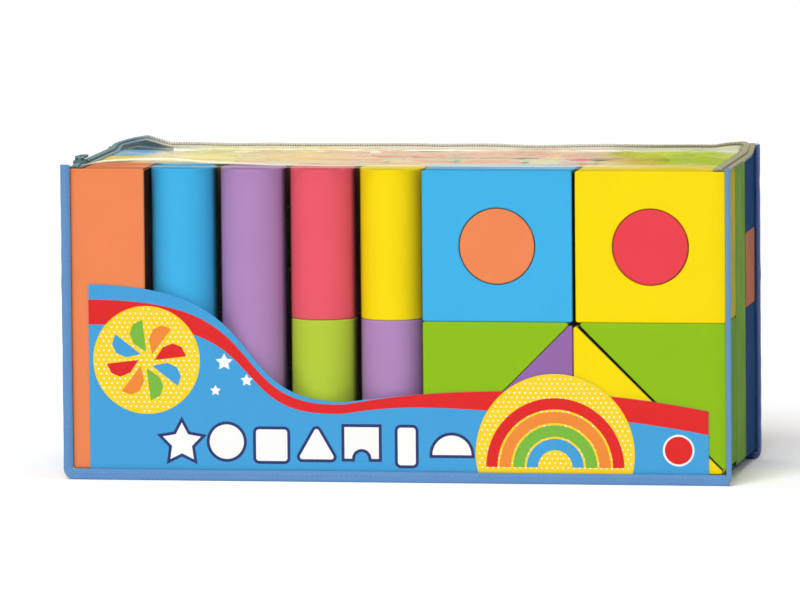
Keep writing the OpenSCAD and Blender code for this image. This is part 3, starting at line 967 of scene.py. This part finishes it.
cardLow, cardHigh = cornersOf("label_card")
card = {
    "left": cardLow.x, "right": cardHigh.x, "floor": cardLow.z, "front": cardLow.y, "back": cardHigh.y,
    "leftTop": 123.0, "trough": 46.0, "troughX": cardLow.x + 172, "crest": (56.4, 59.0), "rightTop": 42.0,
    "step": 0.04,    # from one printed layer to the next
    "edge": 0.01,
    "disc": (-168.3, 73.0, 36.0),    # x, height above the card's foot, and radius
    "badge": (cardHigh.x - 102, 13.0, 53.0),
    "spot": (187.2, 16.0), "spotR": 9.2, "spotEdge": 10.5,
    "bandFrom": 10.0, "bandLeft": 16.6, "bandThin": 6.2, "bandRight": 9.4, "bandIn": 0.02,
    "dot": 0.62, "dotX": 3.6, "dotZ": 3.1, "dotIn": 1.6, "dotFoot": 1.4,
    "rowX": -145.0, "rowPitch": 30.2, "rowZ": 18.0, "rowSway": 1.2, "outline": 2.0,
    "stars": ((-116, 72, 6.0), (-101, 60, 4.4), (-122, 53, 3.8)),
    "bowZ": 4.0, "bowOuter": 46.0, "bowWide": 7.5, "bowPitch": 9.0, "petal": 27.0,
}


def cubic(a, b, c, d, t):
    return (1 - t) ** 3 * a + 3 * (1 - t) ** 2 * t * b + 3 * (1 - t) * t * t * c + t ** 3 * d


# Upper edge of the card without its badge, as (x, height) from the left
def waveEdge():
    left = card["left"]
    low = card["troughX"]
    right = card["right"]
    span = low - left
    rise = right - low
    edge = []
    for k in range(60):
        t = k / 60
        edge.append((cubic(left, left + 0.76 * span, low - 0.5 * span, low, t),
                     cubic(card["leftTop"], card["leftTop"], card["trough"], card["trough"], t)))
    for k in range(81):
        t = k / 80
        edge.append((cubic(low, low + 0.31 * rise, low + 0.64 * rise, right, t),
                     cubic(card["trough"], *card["crest"], card["rightTop"], t)))
    return edge


edgeLine = waveEdge()


def edgeHeight(x):
    for (xa, za), (xb, zb) in zip(edgeLine, edgeLine[1:]):
        if xa <= x <= xb:
            return za + (zb - za) * (x - xa) / max(1e-6, xb - xa)
    return edgeLine[-1][1] if x > 0 else edgeLine[0][1]


def badgeHeight(x):
    badgeX, badgeZ, radius = card["badge"]
    reach = radius ** 2 - (x - badgeX) ** 2
    return badgeZ + math.sqrt(reach) if reach > 0 else -1.0


# Printed or cut shape as a thin closed plate; level 0 is the card itself
def addPlate(work, points, level):
    front = card["front"] - level * card["step"]
    back = card["back"] if level == 0 else card["front"] - (level - 1) * card["step"]
    lifted = [Vector((x, h + card["floor"])) for x, h in points]
    addPrism(work, [lifted], front, back, card["edge"], facingFront, 1)


def plateUnder(top, bottom, x0, x1, count):
    xs = [x0 + (x1 - x0) * k / count for k in range(count + 1)]
    return [(x, bottom(x)) for x in xs] + [(x, top(x)) for x in reversed(xs)]


# Disc cut off along a foot line
def cutDisc(x, h, radius, foot):
    start = math.asin((foot - h) / radius)
    return arcOutline(x, h, radius, start, math.pi - start, 72)


def starOutline(x, h, radius, waist):
    angles = [math.pi / 2 + math.pi * k / 5 for k in range(10)]
    sizes = [radius if k % 2 == 0 else radius * waist for k in range(10)]
    return [(x + s * math.cos(a), h + s * math.sin(a)) for a, s in zip(angles, sizes)]


def placed(points, x, h):
    return [(px + x, ph + h) for px, ph in points]


def blockOutline(wide, tall):
    x = wide / 2
    h = tall / 2
    return roundedOutline([(-x, -h, 2), (x, -h, 2), (x, h, 2), (-x, h, 2)])


def triangleOutline(size):
    angles = [math.pi / 2 + 2 * math.pi * k / 3 for k in range(3)]
    return roundedOutline([(size * math.cos(a), size * math.sin(a) - size * 0.2, 1.6) for a in angles])


def archShape(wide, tall, hole):
    x = wide / 2
    h = tall / 2
    return [(-x, -h), *arcOutline(0, -h, hole, math.pi, 0, 16), (x, -h), (x, h), (-x, h)]


def domeOutline(size):
    return arcOutline(0, -size * 0.5, size, 0, math.pi, 32)


def halfRing(x, h, outer, inner):
    return arcOutline(x, h, outer, 0, math.pi, 48) + arcOutline(x, h, inner, math.pi, 0, 48)


def petal(x, h, size, turn):
    spokes = [(0.2, 0.0), (1.0, 0.1), (0.94, 0.36), (0.78, 0.56), (0.52, 0.66)]
    return [(x + size * r * math.cos(turn + a), h + size * r * math.sin(turn + a)) for r, a in spokes]


def grown(points, amount):
    return insetOutline([Vector(p) for p in points], -amount)


def printPiece(name, shapes, level, ink):
    work = bmesh.new()
    for points in shapes:
        addPlate(work, points, level)
    piece = addPiece(name, work, ink, "pack")
    piece.data.shade_flat()
    return piece


def cardTop(x):
    return max(edgeHeight(x), badgeHeight(x))


# The band follows the upper edge, below a margin that runs out towards the right
def bandTop(x):
    margin = card["bandFrom"] * (1 - smooth((x - card["left"]) / 226))
    return edgeHeight(x) - margin - 0.01


def bandFoot(x):
    left = card["bandLeft"] + (card["bandThin"] - card["bandLeft"]) * smooth((x - card["left"]) / 170)
    thick = left + card["bandRight"] * smooth((x - card["troughX"]) / 150)
    return bandTop(x) - thick


def makeCard():
    outline = plateUnder(cardTop, lambda x: 0.0, card["left"], card["right"], 220)
    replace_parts(printPiece("label_card_board", [outline], 0, inks["blue"]), "label_card")
    band = plateUnder(bandTop, bandFoot, card["left"] + card["bandIn"], card["right"] - card["bandIn"], 160)
    printPiece("card_band", [band], 1, inks["red"])
    discs = [circleOutline(*card["disc"]), cutDisc(*card["badge"], 0.02)]
    printPiece("card_discs", discs, 2, inks["yellow"])
    dots = []
    for cx, cz, radius in (card["disc"], card["badge"]):
        for i in range(-16, 17):
            for j in range(-18, 19):
                x = cx + i * card["dotX"] + (card["dotX"] / 2 if j % 2 else 0)
                h = cz + j * card["dotZ"]
                if math.hypot(x - cx, h - cz) < radius - card["dotIn"] and h > card["dotFoot"]:
                    dots.append(circleOutline(x, h, card["dot"], 8))
    printPiece("card_dots", dots, 3, inks["white"])


# Plain shapes in a row and small stars, a pinwheel and a rainbow on the two discs, and a spot
def makeSigns():
    outlines = []
    fills = []
    row = [starOutline(0, 0, 13.5, 0.52), circleOutline(0, 0, 11.5), blockOutline(21, 21),
           triangleOutline(14.5), archShape(23, 21, 6.5), blockOutline(12, 25), domeOutline(13)]
    for k, shape in enumerate(row):
        x = card["rowX"] + card["rowPitch"] * k
        h = card["rowZ"] + card["rowSway"] * math.sin(k * 2.1)
        outlines.append(placed(grown(shape, card["outline"]), x, h))
        fills.append(placed(shape, x, h))
    fills += [starOutline(x, h, radius, 0.5) for x, h, radius in card["stars"]]
    printPiece("card_sign_edges", outlines, 1, inks["navy"])
    printPiece("card_signs", fills, 2, inks["white"])
    for k, tone in enumerate(("red", "orange", "green", "blue")):
        outer = card["bowOuter"] - card["bowPitch"] * k
        plates = [halfRing(card["badge"][0], card["bowZ"], outer, outer - card["bowWide"])]
        plates += [petal(*card["disc"][:2], card["petal"], k * math.pi / 4 + turn) for turn in (0, math.pi)]
        printPiece("card_shapes_" + tone, plates, 4, inks[tone])
    printPiece("card_spot_edge", [circleOutline(*card["spot"], card["spotEdge"])], 1, inks["white"])
    printPiece("card_spot", [circleOutline(*card["spot"], card["spotR"])], 2, inks["red"])


makeCard()
makeSigns()
print("card made")


# Camera at the photograph's angle
camera = {"azimuth": 9.33, "elevation": 5.77, "roll": -0.52, "far": 6.5, "lens": 438.0,
          "aim": (-0.0102, 0.0, 0.1092)}


def placeCamera():
    az = math.radians(camera["azimuth"])
    el = math.radians(camera["elevation"])
    roll = math.radians(camera["roll"])
    back = Vector((math.sin(az) * math.cos(el), -math.cos(az) * math.cos(el), math.sin(el)))
    right = Vector((math.cos(az), math.sin(az), 0))
    up = back.cross(right)
    tiltRight = right * math.cos(roll) + up * math.sin(roll)
    tiltUp = up * math.cos(roll) - right * math.sin(roll)
    lens = bpy.data.cameras.new("camera")
    lens.sensor_width = 36
    lens.sensor_fit = "HORIZONTAL"
    lens.lens = camera["lens"]
    lens.clip_end = 100
    seen = show("camera", lens)
    place = Matrix((tiltRight, tiltUp, back)).transposed().to_4x4()
    place.translation = Vector(camera["aim"]) + back * camera["far"]
    seen.matrix_world = place
    bpy.context.scene.camera = seen


placeCamera()


studio = {
    "floor": 60.0, "dark": (0.97, 0.97, 0.97, 1), "light": (0.99, 0.99, 0.99, 1),
    "world": 0.5, "sun": 2.85, "soft": 40.0, "from": (-0.14, -1.0, 0.92),
}


# Pale floor, and broad even light from the front left
def makeStudio():
    finish, shader, place = startFinish("floor_pale", {"Roughness": 0.9, "Specular IOR Level": 0.1})
    grain = noiseAt(place, 3.0, 2.0)
    feed(shader, "Base Color", grain.mixColour(studio["dark"], studio["light"]))
    work = bmesh.new()
    bmesh.ops.create_grid(work, x_segments=4, y_segments=4, size=studio["floor"] / 2)
    mesh = bpy.data.meshes.new("floor")
    work.to_mesh(mesh)
    work.free()
    mesh.materials.append(finish)
    show("floor", mesh)
    world = bpy.data.worlds.new("studio")
    world.use_nodes = True
    world.node_tree.nodes["Background"].inputs[0].default_value = (1, 1, 1, 1)
    world.node_tree.nodes["Background"].inputs[1].default_value = studio["world"]
    bpy.context.scene.world = world
    lamp = bpy.data.lights.new("sun", "SUN")
    lamp.energy = studio["sun"]
    lamp.angle = math.radians(studio["soft"])
    show("sun", lamp).rotation_euler = Vector(studio["from"]).to_track_quat("Z", "Y").to_euler()
    bpy.context.scene.view_settings.view_transform = "Standard"


makeStudio()
print("camera and studio made")
